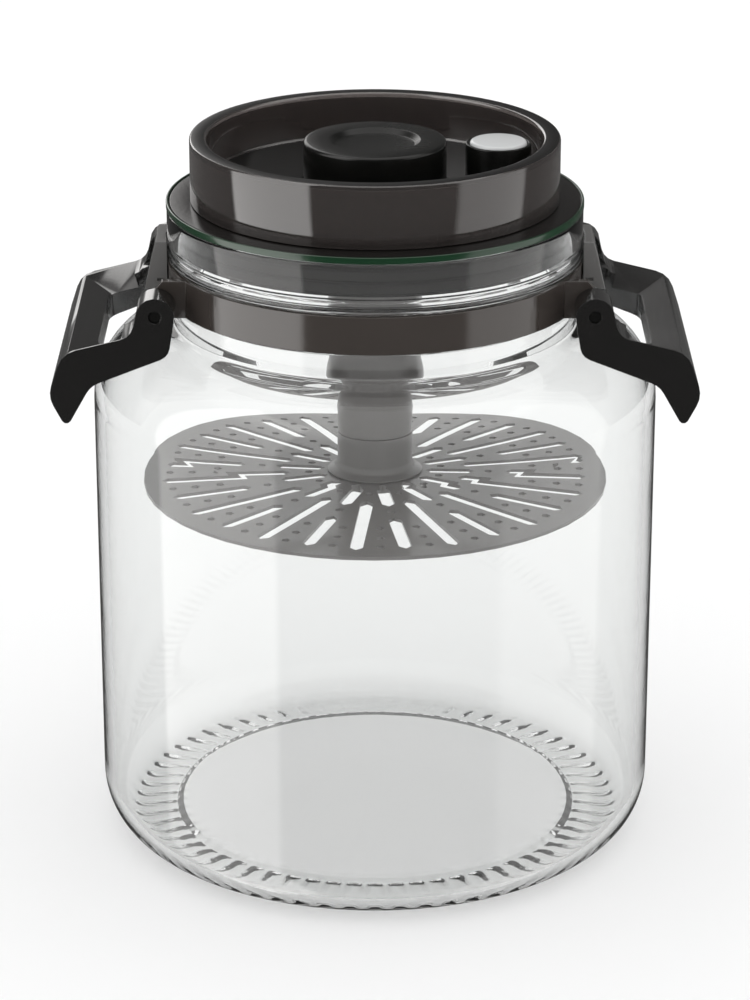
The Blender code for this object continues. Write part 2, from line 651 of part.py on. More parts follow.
def make_lever():
    lever = side_solid("right_lever", lever_outline(), LEVER_HALF_WIDTH, BLACK)
    corners = lever_corners()
    window_x = PIVOT_RADIUS + WINDOW_REACH
    high_z = PIVOT_Z + KNUCKLE_RADIUS + OVERRUN
    low_z = PIVOT_Z - LEVER_DROP - OVERRUN
    low_x = PIVOT_RADIUS - KNUCKLE_RADIUS - OVERRUN
    window = box_mesh("window_cutter", (low_x, -WINDOW_HALF_WIDTH, low_z),
                      (window_x, WINDOW_HALF_WIDTH, high_z))
    window_cutter = add_object("window_cutter", window)
    round_window = window_cutter.modifiers.new("round", "BEVEL")
    round_window.width = LEVER_SKIN
    round_window.segments = FILLET_STEPS
    boolean(lever, window_cutter)

    # Room for the ear: a round seat about the pivot, open above and towards the neck
    seat_radius = EAR_ROUND + EAR_CLEARANCE
    seat = arc((PIVOT_RADIUS, PIVOT_Z), seat_radius, -100, -45, FILLET_STEPS)
    seat.append((corners[0][0] + OVERRUN, corners[0][1]))
    seat.append((corners[0][0] + OVERRUN, high_z))
    seat.append((low_x, high_z))
    seat.append((low_x, PIVOT_Z - seat_radius))
    boolean(lever, side_solid("ear_room_cutter", seat, EAR_OUTER + RUN_GAP))

    # Dished top: the inner slopes of the two arms and of the cross bar
    root = Vector(corners[0][:2])
    crest = Vector(corners[1][:2])
    slope = math.atan2(root.y - crest.y, crest.x - root.x)
    length = (crest - root).length
    lip = SMALL_ROUND
    dish = bmesh.new()
    bmesh.ops.create_cube(dish, size=1.0)
    bar_slope_width = crest.x - window_x - lip
    for vert in dish.verts:
        top = vert.co.z > 0
        half_width = LEVER_HALF_WIDTH - lip if top else WINDOW_HALF_WIDTH
        reach = length - lip if top else length - bar_slope_width - lip
        vert.co.x = reach if vert.co.x > 0 else KNUCKLE_RADIUS / 2
        vert.co.y = half_width if vert.co.y > 0 else -half_width
        vert.co.z = 0.0 if top else -DISH_DEPTH
    for vert in list(dish.verts):
        if vert.co.z == 0.0:
            grow = OVERRUN / DISH_DEPTH
            vert.co.z = OVERRUN
            vert.co.y *= 1 + grow * (1 - WINDOW_HALF_WIDTH / LEVER_HALF_WIDTH)
            if vert.co.x > KNUCKLE_RADIUS:
                vert.co.x += grow * bar_slope_width
    dish_mesh = bpy.data.meshes.new("dish_cutter")
    dish.to_mesh(dish_mesh)
    dish.free()
    dish_mesh.transform(Matrix.Translation((root.x, 0.0, root.y)) @ Matrix.Rotation(slope, 4, "Y"))
    boolean(lever, add_object("dish_cutter", dish_mesh))

    # Hollow underside: the top skin, the outer skin, the cheeks and the window's walls stay
    pocket = []
    skin = DISH_DEPTH + LEVER_SKIN
    pocket.append((root.x + KNUCKLE_RADIUS / 2, root.y - skin))
    pocket.append((crest.x - LEVER_SKIN * 1.5, crest.y - skin))
    pocket.append((corners[2][0] - LEVER_SKIN, corners[2][1]))
    pocket.append((corners[3][0] - LEVER_SKIN, low_z))
    pocket.append((root.x + KNUCKLE_RADIUS / 2, low_z))
    arm_middle = (LEVER_HALF_WIDTH + WINDOW_HALF_WIDTH) / 2
    arm_half = (LEVER_HALF_WIDTH - WINDOW_HALF_WIDTH) / 2 - CHEEK_WALL
    for end in (-1, 1):
        name = "pocket_cutter_" + ("front" if end < 0 else "back")
        boolean(lever, side_solid(name, pocket, arm_half, centre_y=end * arm_middle))
    bar_pocket = [(window_x + CHEEK_WALL, pocket[1][1]), pocket[1], pocket[2], pocket[3],
                  (window_x + CHEEK_WALL, low_z)]
    boolean(lever, side_solid("bar_pocket_cutter", bar_pocket, WINDOW_HALF_WIDTH - CHEEK_WALL))

    # Clear of the jar's shoulder when the lever is down
    clearance = jar_outer_profile(SHOULDER_CLEARANCE)
    clearance = [(0.0, clearance[0][1])] + clearance[:SHOULDER_STEPS + 3]
    clearance = [(r, z + SHOULDER_CLEARANCE) for r, z in clearance]
    clearance.append((0.0, clearance[-1][1]))
    boolean(lever, turned("shoulder_cutter", clearance))

    # Pin hole
    hole = cylinder_mesh("lever_hole", LEVER_PIN_RADIUS + SEAT_GAP, (LEVER_HALF_WIDTH + OVERRUN) * 2,
                         PIN_STEPS)
    hole.transform(Matrix.Rotation(math.radians(90), 4, "X"))
    hole.transform(Matrix.Translation((PIVOT_RADIUS, 0.0, PIVOT_Z)))
    boolean(lever, add_object("lever_hole_cutter", hole))
    bake(lever)
    put_origin(lever, (PIVOT_RADIUS, 0.0, PIVOT_Z))
    mirrored(lever, "left_lever")


def make_lug():
    """The grey wedge that stands on the band beside the neck, between a pair of ears."""
    top_z = LUG_LOW_Z + LUG_HEIGHT
    outline = [(BAND_BORE, LUG_LOW_Z + LUG_FOOT_SLOPE)]
    for height_share, thickness_share in LUG_OUTLINE_SHARES:
        outline.append((LUG_FACE_RADIUS + LUG_FOOT_THICKNESS * thickness_share,
                        LUG_LOW_Z + LUG_HEIGHT * height_share))
    outline.append((BAND_BORE, top_z))
    lug = side_solid("right_lug", outline, LUG_HALF_WIDTH, BAND)
    high_z = top_z + OVERRUN
    low_z = LUG_LOW_Z - OVERRUN
    boolean(lug, turned("lug_face_cutter", [(0.0, high_z), (LUG_FACE_RADIUS, high_z),
                                            (LUG_FACE_RADIUS, low_z), (0.0, low_z)]))
    slots = []
    for end in (-1, 1):
        near = end * (LUG_HALF_WIDTH - LUG_SLOT_DEPTH)
        far = end * (LUG_HALF_WIDTH + OVERRUN)
        slot_z = LUG_LOW_Z + LUG_SLOT_RISE
        slots.append(box_mesh("slot", (LUG_FACE_RADIUS, min(near, far), slot_z),
                              (LUG_FACE_RADIUS + LUG_SLOT_WIDTH, max(near, far),
                               slot_z + LUG_SLOT_HEIGHT)))
    boolean(lug, add_object("lug_slot_cutter", joined_mesh("lug_slots", slots)))
    bake(lug)
    mirrored(lug, "left_lug")


def make_handle_pins():
    """Two short pins carry each handle in its ears."""
    inner = EAR_OUTER - EAR_THICKNESS
    outer = LEVER_HALF_WIDTH - PIN_INSET
    for end, place in ((-1, "front"), (1, "back")):
        stub = cylinder_mesh("right_" + place + "_pin", LEVER_PIN_RADIUS, outer - inner, PIN_STEPS)
        stub.transform(Matrix.Rotation(math.radians(90), 4, "X"))
        centre = (PIVOT_RADIUS, end * (outer + inner) / 2, PIVOT_Z)
        pin = add_object("right_" + place + "_pin", stub, BLACK, centre)
        mirrored(pin, "left_" + place + "_pin")


def make_lid_base():
    flange_low_z = FLANGE_TOP_Z - FLANGE_THICKNESS
    shelf_radius = SHELL_RADIUS - SHELL_WALL - SMALL_ROUND
    profile = [(PLUG_PORT_RADIUS, PLUG_LOW_Z), (PLUG_PORT_RADIUS, PLUG_FLOOR_Z),
               (PLUG_RADIUS - PLUG_WALL, PLUG_FLOOR_Z),
               (PLUG_RADIUS - PLUG_WALL, flange_low_z - SEAT_GAP),
               (shelf_radius, flange_low_z - SEAT_GAP), (shelf_radius, FLANGE_TOP_Z),
               (FLANGE_RADIUS, FLANGE_TOP_Z), (FLANGE_RADIUS, flange_low_z),
               (PLUG_RADIUS, flange_low_z)]
    pitch = (flange_low_z - PLUG_LOW_Z) / PLUG_GROOVE_COUNT
    for i in range(PLUG_GROOVE_COUNT):
        middle = flange_low_z - pitch * (i + 0.75)
        profile.append((PLUG_RADIUS, middle + PLUG_GROOVE_DEPTH))
        profile.append((PLUG_RADIUS - PLUG_GROOVE_DEPTH, middle))
        profile.append((PLUG_RADIUS, middle - PLUG_GROOVE_DEPTH))
    profile.append((PLUG_RADIUS - PLUG_GROOVE_DEPTH, PLUG_LOW_Z))
    base = turned("lid_base", profile, DARK, LID_STEPS)
    hole = cylinder_mesh("vent_hole", VENT_STEM_RADIUS + RUN_GAP, PLUG_FLOOR * 3, PIN_STEPS)
    boolean(base, add_object("vent_hole_cutter", hole, None, (VENT_OFFSET, 0.0, PLUG_LOW_Z)))
    bake(base)


def make_gasket():
    inner = MOUTH_RADIUS - SEAT_GAP + SEAT_GAP * 2
    low = JAR_HEIGHT + SEAT_GAP
    leg_top = low + GASKET_LEG
    lip_inner = FLANGE_RADIUS + SEAT_GAP
    lip_top = FLANGE_TOP_Z + GASKET_LIP_RISE
    turned("lid_gasket", [(inner, low), (inner, leg_top), (lip_inner, leg_top), (lip_inner, lip_top),
                          (GASKET_RADIUS, lip_top), (GASKET_RADIUS, low)], GREEN, LID_STEPS)


def make_lid_shell():
    rim_inner = SHELL_RADIUS - SHELL_RIM_WIDTH
    wall_inner = SHELL_RADIUS - SHELL_WALL
    ceiling_z = SHELL_TOP_Z - SHELL_WALL
    floor_low_z = SHELL_FLOOR_Z - SHELL_FLOOR
    shell = turned("lid_shell", [
        (wall_inner, SHELL_LOW_Z), (wall_inner, ceiling_z), (rim_inner + SHELL_WALL, ceiling_z),
        (rim_inner + SHELL_WALL, floor_low_z), (PUMP_BORE_RADIUS, floor_low_z),
        (PUMP_BORE_RADIUS, SHELL_FLOOR_Z), (rim_inner, SHELL_FLOOR_Z),
        (rim_inner, SHELL_TOP_Z - SMALL_ROUND), (rim_inner + SMALL_ROUND, SHELL_TOP_Z),
        (SHELL_RADIUS - SMALL_ROUND, SHELL_TOP_Z), (SHELL_RADIUS, SHELL_TOP_Z - SMALL_ROUND),
        (SHELL_RADIUS, SHELL_LOW_Z)], SMOKE, LID_STEPS)
    hole = cylinder_mesh("shell_hole", VENT_STEM_RADIUS + RUN_GAP, SHELL_FLOOR * 4, PIN_STEPS)
    boolean(shell, add_object("shell_hole_cutter", hole, None, (VENT_OFFSET, 0.0, SHELL_FLOOR_Z)))
    bake(shell)


def make_pump():
    shell_floor_low_z = SHELL_FLOOR_Z - SHELL_FLOOR
    outer = PUMP_BORE_RADIUS + PUMP_WALL
    port = VALVE_STEM_RADIUS + RUN_GAP
    turned("pump_cylinder", [
        (port, PUMP_LOW_Z), (port, PUMP_FLOOR_Z), (PUMP_BORE_RADIUS, PUMP_FLOOR_Z),
        (PUMP_BORE_RADIUS, shell_floor_low_z - SEAT_GAP), (outer, shell_floor_low_z - SEAT_GAP),
        (outer, PUMP_LOW_Z)], DARK, TUBE_STEPS)

    seat_z = KNOB_TOP_Z - KNOB_DISH_DEPTH
    ceiling_z = KNOB_TOP_Z - KNOB_CROWN
    turned("pump_knob", [
        (0.0, seat_z), (KNOB_DISH_RADIUS - SMALL_ROUND, seat_z), (KNOB_DISH_RADIUS, KNOB_TOP_Z),
        (KNOB_RADIUS - SMALL_ROUND, KNOB_TOP_Z), (KNOB_RADIUS, KNOB_TOP_Z - SMALL_ROUND),
        (KNOB_RADIUS, KNOB_TOP_Z - KNOB_SKIRT), (KNOB_RADIUS - KNOB_WALL, KNOB_TOP_Z - KNOB_SKIRT),
        (KNOB_RADIUS - KNOB_WALL, ceiling_z), (0.0, ceiling_z)], BLACK, LID_STEPS)

    rod_low_z = PISTON_TOP_Z + SEAT_GAP
    rod_top_z = ceiling_z - SEAT_GAP
    rod = cylinder_mesh("pump_rod", ROD_RADIUS, rod_top_z - rod_low_z, PIN_STEPS)
    rod.transform(Matrix.Translation((0.0, 0.0, (rod_top_z + rod_low_z) / 2)))
    add_object("pump_rod", rod, GREY)

    seal_middle_z = (PISTON_LOW_Z + PISTON_TOP_Z) / 2
    seal_half = PISTON_SEAL_HEIGHT / 2
    groove_half = seal_half + SEAT_GAP
    groove_radius = PISTON_RADIUS - PISTON_SEAL_DEPTH
    crown_z = PISTON_TOP_Z - PISTON_WALL
    turned("pump_piston", [
        (0.0, PISTON_TOP_Z), (PISTON_RADIUS, PISTON_TOP_Z),
        (PISTON_RADIUS, seal_middle_z + groove_half), (groove_radius, seal_middle_z + groove_half),
        (groove_radius, seal_middle_z - groove_half), (PISTON_RADIUS, seal_middle_z - groove_half),
        (PISTON_RADIUS, PISTON_LOW_Z), (groove_radius - PISTON_WALL, PISTON_LOW_Z),
        (groove_radius - PISTON_WALL, crown_z), (0.0, crown_z)], GREY, TUBE_STEPS)
    turned("piston_seal", [
        (groove_radius + SEAT_GAP, seal_middle_z - seal_half),
        (groove_radius + SEAT_GAP, seal_middle_z + seal_half),
        (PISTON_SEAL_RADIUS, seal_middle_z + seal_half),
        (PISTON_SEAL_RADIUS, seal_middle_z - seal_half)], RUBBER, TUBE_STEPS)
    coil("pump_spring", PUMP_SPRING_RADIUS, PUMP_SPRING_WIRE, PUMP_SPRING_TURNS,
         PUMP_FLOOR_Z + SEAT_GAP, crown_z - SEAT_GAP, STEEL)

    lip_z = PUMP_FLOOR_Z + SEAT_GAP
    turned("check_valve", [
        (0.0, lip_z + VALVE_LIP + VALVE_CROWN), (VALVE_RADIUS / 2, lip_z + VALVE_LIP + VALVE_CROWN),
        (VALVE_RADIUS, lip_z + VALVE_LIP), (VALVE_RADIUS, lip_z), (VALVE_STEM_RADIUS, lip_z),
        (VALVE_STEM_RADIUS, lip_z - VALVE_STEM_LENGTH), (0.0, lip_z - VALVE_STEM_LENGTH)],
        RUBBER, PIN_STEPS)


def make_vent():
    here = (VENT_OFFSET, 0.0, 0.0)
    ring_low_z = SHELL_FLOOR_Z + SEAT_GAP
    ring_floor_z = ring_low_z + VENT_RING_FLOOR
    ring_top_z = SHELL_TOP_Z - VENT_RING_SINK
    hole = VENT_STEM_RADIUS + RUN_GAP
    turned("vent_housing", [
        (hole, ring_low_z), (hole, ring_floor_z), (VENT_RING_RADIUS - VENT_RING_WALL, ring_floor_z),
        (VENT_RING_RADIUS - VENT_RING_WALL, ring_top_z), (VENT_RING_RADIUS, ring_top_z),
        (VENT_RING_RADIUS, ring_low_z)], BLACK, TUBE_STEPS, here)

    top_z = SHELL_TOP_Z - VENT_BUTTON_SINK
    ceiling_z = top_z - VENT_BUTTON_WALL
    turned("vent_button", [
        (0.0, top_z), (VENT_BUTTON_RADIUS - SMALL_ROUND, top_z),
        (VENT_BUTTON_RADIUS, top_z - SMALL_ROUND), (VENT_BUTTON_RADIUS, top_z - VENT_BUTTON_HEIGHT),
        (VENT_BUTTON_RADIUS - VENT_BUTTON_WALL, top_z - VENT_BUTTON_HEIGHT),
        (VENT_BUTTON_RADIUS - VENT_BUTTON_WALL, ceiling_z), (0.0, ceiling_z)],
        PALE, TUBE_STEPS, here)

    seal_top_z = PLUG_LOW_Z - SEAT_GAP
    seal_low_z = seal_top_z - VENT_SEAL_THICKNESS
    foot_top_z = seal_low_z - SEAT_GAP
    stem_top_z = ceiling_z - SEAT_GAP
    turned("vent_stem", [
        (0.0, stem_top_z), (VENT_STEM_RADIUS, stem_top_z), (VENT_STEM_RADIUS, foot_top_z),
        (VENT_STEM_FOOT_RADIUS, foot_top_z), (VENT_STEM_FOOT_RADIUS, foot_top_z - VENT_STEM_FOOT),
        (0.0, foot_top_z - VENT_STEM_FOOT)], GREY, PIN_STEPS, here)
    turned("vent_seal", [
        (VENT_STEM_RADIUS + SEAT_GAP, seal_low_z), (VENT_STEM_RADIUS + SEAT_GAP, seal_top_z),
        (VENT_SEAL_RADIUS, seal_top_z), (VENT_SEAL_RADIUS, seal_low_z)], RUBBER, PIN_STEPS, here)
    coil("vent_spring", VENT_SPRING_RADIUS, VENT_SPRING_WIRE, VENT_SPRING_TURNS,
         ring_floor_z + SEAT_GAP, ceiling_z - SEAT_GAP, STEEL, VENT_OFFSET)


def make_tube():
    flange_low_z = TUBE_TOP_Z - OUTER_TUBE_FLANGE
    lip_top_z = TUBE_LOW_Z + COLLAR_LIP_HEIGHT
    turned("outer_tube", [
        (OUTER_TUBE_BORE, TUBE_LOW_Z), (OUTER_TUBE_BORE, TUBE_TOP_Z),
        (OUTER_TUBE_FLANGE_RADIUS, TUBE_TOP_Z), (OUTER_TUBE_FLANGE_RADIUS, flange_low_z),
        (OUTER_TUBE_RADIUS, flange_low_z), (OUTER_TUBE_RADIUS, lip_top_z),
        (COLLAR_LIP_RADIUS, lip_top_z - COLLAR_LIP_HEIGHT / 5),
        (COLLAR_LIP_RADIUS, TUBE_LOW_Z + COLLAR_LIP_HEIGHT / 3),
        (COLLAR_END_RADIUS, TUBE_LOW_Z)], GREY, TUBE_STEPS)

    ring_top_z = INNER_TUBE_TOP_Z - SEAL_RING_DROP
    ring_low_z = ring_top_z - SEAL_RING_HEIGHT
    groove_radius = INNER_TUBE_RADIUS - SEAL_RING_DEPTH
    turned("inner_tube", [
        (INNER_TUBE_BORE, INNER_TUBE_LOW_Z), (INNER_TUBE_BORE, INNER_TUBE_TOP_Z),
        (INNER_TUBE_RADIUS, INNER_TUBE_TOP_Z), (INNER_TUBE_RADIUS, ring_top_z + SEAT_GAP),
        (groove_radius, ring_top_z + SEAT_GAP), (groove_radius, ring_low_z - SEAT_GAP),
        (INNER_TUBE_RADIUS, ring_low_z - SEAT_GAP), (INNER_TUBE_RADIUS, INNER_TUBE_LOW_Z)],
        GREY, TUBE_STEPS)
    turned("tube_seal_ring", [
        (groove_radius + SEAT_GAP, ring_low_z), (groove_radius + SEAT_GAP, ring_top_z),
        (SEAL_RING_RADIUS - SEAT_GAP, ring_top_z), (SEAL_RING_RADIUS, (ring_top_z + ring_low_z) / 2),
        (SEAL_RING_RADIUS - SEAT_GAP, ring_low_z)], RUBBER, TUBE_STEPS)

    spigot = INNER_TUBE_BORE - SEAT_GAP
    foot = PLATE_HOLE_RADIUS - SEAT_GAP
    plate_low_z = PLATE_TOP_Z - PLATE_THICKNESS
    nut_top_z = plate_low_z - SEAT_GAP
    nut_low_z = nut_top_z - HUB_NUT_HEIGHT
    turned("plate_hub", [
        (HUB_BORE, nut_low_z), (HUB_BORE, HUB_TOP_Z + HUB_SPIGOT_LENGTH),
        (spigot, HUB_TOP_Z + HUB_SPIGOT_LENGTH), (spigot, HUB_TOP_Z), (HUB_SLEEVE_RADIUS, HUB_TOP_Z),
        (HUB_SLEEVE_RADIUS, HUB_LOW_Z + HUB_FLARE_HEIGHT),
        ((HUB_SLEEVE_RADIUS * 3 + HUB_FLARE_RADIUS) / 4, HUB_LOW_Z + HUB_FLARE_HEIGHT / 2),
        (HUB_FLARE_RADIUS, HUB_LOW_Z + SMALL_ROUND), (HUB_FLARE_RADIUS, HUB_LOW_Z),
        (foot, HUB_LOW_Z), (foot, nut_low_z)], GREY, TUBE_STEPS)
    turned("plate_nut", [
        (foot + SEAT_GAP, nut_low_z), (foot + SEAT_GAP, nut_top_z), (HUB_NUT_RADIUS, nut_top_z),
        (HUB_NUT_RADIUS, nut_low_z + SMALL_ROUND), (HUB_NUT_RADIUS - SMALL_ROUND, nut_low_z)],
        GREY, TUBE_STEPS)


def slot_loop(angle, shares):
    """A radial slot with round ends, between two shares of the plate's radius."""
    start = PLATE_RADIUS * shares[0] + SLOT_WIDTH / 2
    end = PLATE_RADIUS * shares[1] - SLOT_WIDTH / 2
    local = arc((end, 0.0), SLOT_WIDTH / 2, -90, 90, SLOT_END_STEPS)
    local += arc((start, 0.0), SLOT_WIDTH / 2, 90, 270, SLOT_END_STEPS)
    turn = Matrix.Rotation(angle, 2)
    return [tuple(turn @ Vector(point)) for point in local]


def hole_loop(angle, share):
    centre = (PLATE_RADIUS * share * math.cos(angle), PLATE_RADIUS * share * math.sin(angle))
    return arc(centre, PLATE_HOLE_SIZE / 2, 0, 360, PLATE_HOLE_STEPS)[:-1]


def make_press_plate():
    """Pairs of slots round the plate: a split slot with a hole in its gap, then a long one,
    with rows of small holes between the neighbours."""
    loops = [arc((0.0, 0.0), PLATE_RADIUS, 0, 360, JAR_STEPS)[:-1]]
    loops.append(arc((0.0, 0.0), PLATE_HOLE_RADIUS, 0, 360, TUBE_STEPS)[:-1])
    pitch = math.pi / SLOT_PAIRS
    for i in range(SLOT_PAIRS * 2):
        angle = SLOT_START_ANGLE + pitch * i
        if i % 2:
            loops.append(slot_loop(angle, LONG_SLOT_SHARES))
            loops.append(hole_loop(angle, LONG_HOLE_SHARE))
        else:
            loops.append(slot_loop(angle, INNER_SLOT_SHARES))
            loops.append(slot_loop(angle, OUTER_SLOT_SHARES))
            loops.append(hole_loop(angle, DOUBLE_HOLE_SHARE))
        for share in GAP_HOLE_SHARES:
            loops.append(hole_loop(angle + pitch / 2, share))
    mesh = flat_solid("press_plate", loops, PLATE_THICKNESS)
    mesh.transform(Matrix.Translation((0.0, 0.0, PLATE_TOP_Z - PLATE_THICKNESS / 2)))
    smooth(mesh)
    add_object("press_plate", mesh, GREY)


make_jar()
make_neck_band()
make_lever()
make_lug()
make_handle_pins()
make_lid_base()
make_gasket()
make_lid_shell()
make_pump()
make_vent()
make_tube()
make_press_plate()
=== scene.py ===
# %% [markdown]
# # Pickle storage container
#
# This is a pickling jar: a clear jar, a smoked lid with a hand pump and a vent, and a slotted plate
# on a telescopic tube that keeps the food under the brine. Two handles hinge on a band at the neck.
#
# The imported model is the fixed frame, and every piece stays where it has it. Round pieces are turned
# again with many more facets and soft edges, and Geometry Nodes press the flutes under the heel. The
# plate, the band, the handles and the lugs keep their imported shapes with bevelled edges. The finishes
# come from one builder of node materials, so that they differ only in their numbers.

# %%
import math

import bmesh
import bpy
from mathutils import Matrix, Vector


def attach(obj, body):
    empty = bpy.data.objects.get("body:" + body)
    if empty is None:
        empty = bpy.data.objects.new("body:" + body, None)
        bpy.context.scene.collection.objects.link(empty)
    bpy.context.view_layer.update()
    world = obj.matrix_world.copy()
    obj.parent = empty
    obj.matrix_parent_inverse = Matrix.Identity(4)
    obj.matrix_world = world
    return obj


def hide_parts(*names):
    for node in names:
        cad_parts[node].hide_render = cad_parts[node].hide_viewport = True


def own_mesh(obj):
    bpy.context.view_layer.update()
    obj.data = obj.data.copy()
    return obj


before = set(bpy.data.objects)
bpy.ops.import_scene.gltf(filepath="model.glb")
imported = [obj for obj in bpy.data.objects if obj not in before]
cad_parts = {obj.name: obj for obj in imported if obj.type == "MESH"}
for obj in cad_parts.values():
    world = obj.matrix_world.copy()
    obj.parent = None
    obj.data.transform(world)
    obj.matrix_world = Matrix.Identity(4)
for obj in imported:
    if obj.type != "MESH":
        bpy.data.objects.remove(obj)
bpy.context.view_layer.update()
MM = 0.001
print("packed nodes:", len(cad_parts))

# %% [markdown]
# ## Camera
#
# A long lens, 21 degrees above the horizontal, fitted to the rims and the base ring of the photograph.

# %%
LENS = 131.13
SENSOR_WIDTH = 36.0
CAMERA_PLACE = (0.0, -1.229, 0.5909)
CAMERA_TILT = math.radians(90 - 20.93)

camera_data = bpy.data.cameras.new("camera")
camera_data.lens = LENS
camera_data.sensor_width = SENSOR_WIDTH
camera_data.clip_start = 0.05
camera_data.clip_end = 20.0
camera = bpy.data.objects.new("camera", camera_data)
camera.location = CAMERA_PLACE
camera.rotation_euler = (CAMERA_TILT, 0.0, 0.0)
bpy.context.scene.collection.objects.link(camera)
bpy.context.scene.camera = camera
bpy.context.scene.view_settings.view_transform = "Standard"

# %% [markdown]
# ## Studio
#
# A clear jar in front of white needs something dark to reflect, or its edges vanish. So the world is
# white where it is seen straight or through the glass, and in reflections it is a dark studio with a
# tall soft panel on the left, a fainter one on the right, a low one behind on the left and a soft
# ceiling. Those panels draw the bright strips on the cap and the jar. The floor is plain and pale.

# %%
# Each panel of the studio: its span of azimuth, its span of elevation, its soft edge and its strength
LEFT_PANEL = ((-97, -40), (-70, 62), 2.0, 2.3)
RIGHT_PANEL = ((52, 104), (-70, 55), 3.0, 1.0)
BACK_PANEL = ((-174, -146), (4, 42), 2.0, 1.8)
CEILING = (42, 56)
CEILING_STRENGTH = 1.3
DARK_STRENGTH = 0.10
FILL_STRENGTH = 1.12
WARM_WHITE = (1.0, 0.985, 0.97, 1.0)
WHITE = (1.0, 1.0, 1.0, 1.0)
FLOOR_SIZE = 3.5
FLOOR_DROP = 0.4 * MM


def node(tree, kind, **values):
    made = tree.nodes.new(kind)
    for name, value in values.items():
        if name in made.inputs:
            made.inputs[name].default_value = value
        else:
            setattr(made, name, value)
    return made


def math_node(tree, operation, a, b=None, clamp=False):
    made = tree.nodes.new("ShaderNodeMath")
    made.operation = operation
    made.use_clamp = clamp
    for socket, value in zip(made.inputs, (a, b)):
        if value is None:
            continue
        if isinstance(value, (int, float)):
            socket.default_value = value
        else:
            tree.links.new(value, socket)
    return made.outputs[0]


def soft_step(tree, value, low, high):
    made = tree.nodes.new("ShaderNodeMapRange")
    made.interpolation_type = "SMOOTHSTEP"
    made.inputs["From Min"].default_value = low
    made.inputs["From Max"].default_value = high
    tree.links.new(value, made.inputs["Value"])
    return made.outputs["Result"]


def panel(tree, azimuth, elevation, angles, heights, soft, strength):
    """A soft rectangle of sky: azimuth from the camera's side, plus to the right, in degrees."""
    parts = [
        soft_step(tree, azimuth, angles[0] - soft, angles[0] + soft),
        soft_step(tree, azimuth, angles[1] + soft, angles[1] - soft),
        soft_step(tree, elevation, heights[0] - soft, heights[0] + soft),
        soft_step(tree, elevation, heights[1] + soft, heights[1] - soft),
    ]
    product = parts[0]
    for part in parts[1:]:
        product = math_node(tree, "MULTIPLY", product, part)
    return math_node(tree, "MULTIPLY", product, strength)


def background(tree, colour, strength):
    made = tree.nodes.new("ShaderNodeBackground")
    made.inputs["Color"].default_value = colour
    if isinstance(strength, float):
        made.inputs["Strength"].default_value = strength
    else:
        tree.links.new(strength, made.inputs["Strength"])
    return made.outputs[0]


def mixed(tree, share, first, second):
    made = tree.nodes.new("ShaderNodeMixShader")
    for socket, value in zip(made.inputs, (share, first, second)):
        tree.links.new(value, socket)
    return made.outputs[0]


def build_world():
    world = bpy.data.worlds.new("studio")
    bpy.context.scene.world = world
    world.use_nodes = True
    tree = world.node_tree
    tree.nodes.clear()
    output = tree.nodes.new("ShaderNodeOutputWorld")
    direction = tree.nodes.new("ShaderNodeTexCoord")
    split = tree.nodes.new("ShaderNodeSeparateXYZ")
    tree.links.new(direction.outputs["Generated"], split.inputs[0])
    x, y, z = split.outputs
    toward_camera = math_node(tree, "MULTIPLY", y, -1.0)
    azimuth = math_node(tree, "MULTIPLY", math_node(tree, "ARCTAN2", x, toward_camera), 180 / math.pi)
    elevation = math_node(tree, "MULTIPLY", math_node(tree, "ARCSINE", z), 180 / math.pi)
    light = math_node(tree, "MULTIPLY", soft_step(tree, elevation, *CEILING), CEILING_STRENGTH)
    for place in (LEFT_PANEL, BACK_PANEL, RIGHT_PANEL):
        light = math_node(tree, "ADD", light, panel(tree, azimuth, elevation, *place))
    light = math_node(tree, "ADD", light, DARK_STRENGTH)
    path = tree.nodes.new("ShaderNodeLightPath")
    seen = math_node(tree, "MAXIMUM", path.outputs["Is Camera Ray"],
                     path.outputs["Is Transmission Ray"])
    lit = mixed(tree, path.outputs["Is Glossy Ray"], background(tree, WHITE, FILL_STRENGTH),
                background(tree, WARM_WHITE, light))
    final = mixed(tree, seen, lit, background(tree, WHITE, 1.0))
    tree.links.new(final, output.inputs["Surface"])


build_world()


def build_floor():
    shape = bmesh.new()
    bmesh.ops.create_grid(shape, x_segments=1, y_segments=1, size=FLOOR_SIZE)
    mesh = bpy.data.meshes.new("floor")
    shape.to_mesh(mesh)
    shape.free()
    floor = bpy.data.objects.new("floor", mesh)
    floor.location = (0.0, 0.0, -FLOOR_DROP)
    bpy.context.scene.collection.objects.link(floor)
    finish = bpy.data.materials.new("floor_paper")
    finish.use_nodes = True
    tree = finish.node_tree
    shader = tree.nodes["Principled BSDF"]
    shader.inputs["Roughness"].default_value = 0.9
    shader.inputs["Specular IOR Level"].default_value = 0.1
    place = tree.nodes.new("ShaderNodeTexCoord")
    grain = node(tree, "ShaderNodeTexNoise", Scale=3.0, Detail=2.0)
    tree.links.new(place.outputs["Object"], grain.inputs["Vector"])
    tint = node(tree, "ShaderNodeMix", data_type="RGBA")
    tint.inputs[6].default_value = (0.93, 0.93, 0.93, 1.0)
    tint.inputs[7].default_value = (0.95, 0.95, 0.95, 1.0)
    tree.links.new(grain.outputs["Fac"], tint.inputs[0])
    tree.links.new(tint.outputs[2], shader.inputs["Base Color"])
    mesh.materials.append(finish)
    floor.visible_glossy = False


build_floor()
print("studio: world and floor")

# %% [markdown]
# ## Finishes
#
# The real pieces are clear glass or plastic, smoke plastic, glossy and satin plastic, silicone and
# steel. Moulded plastic is never quite even, so one builder gives each finish a colour that drifts a
# little from place to place, a roughness that follows the same drift and a shallow bump. All of it
# reads Object coordinates, so it stays on its piece when the piece moves. A value that is the same
# everywhere goes straight into the shader's own socket.


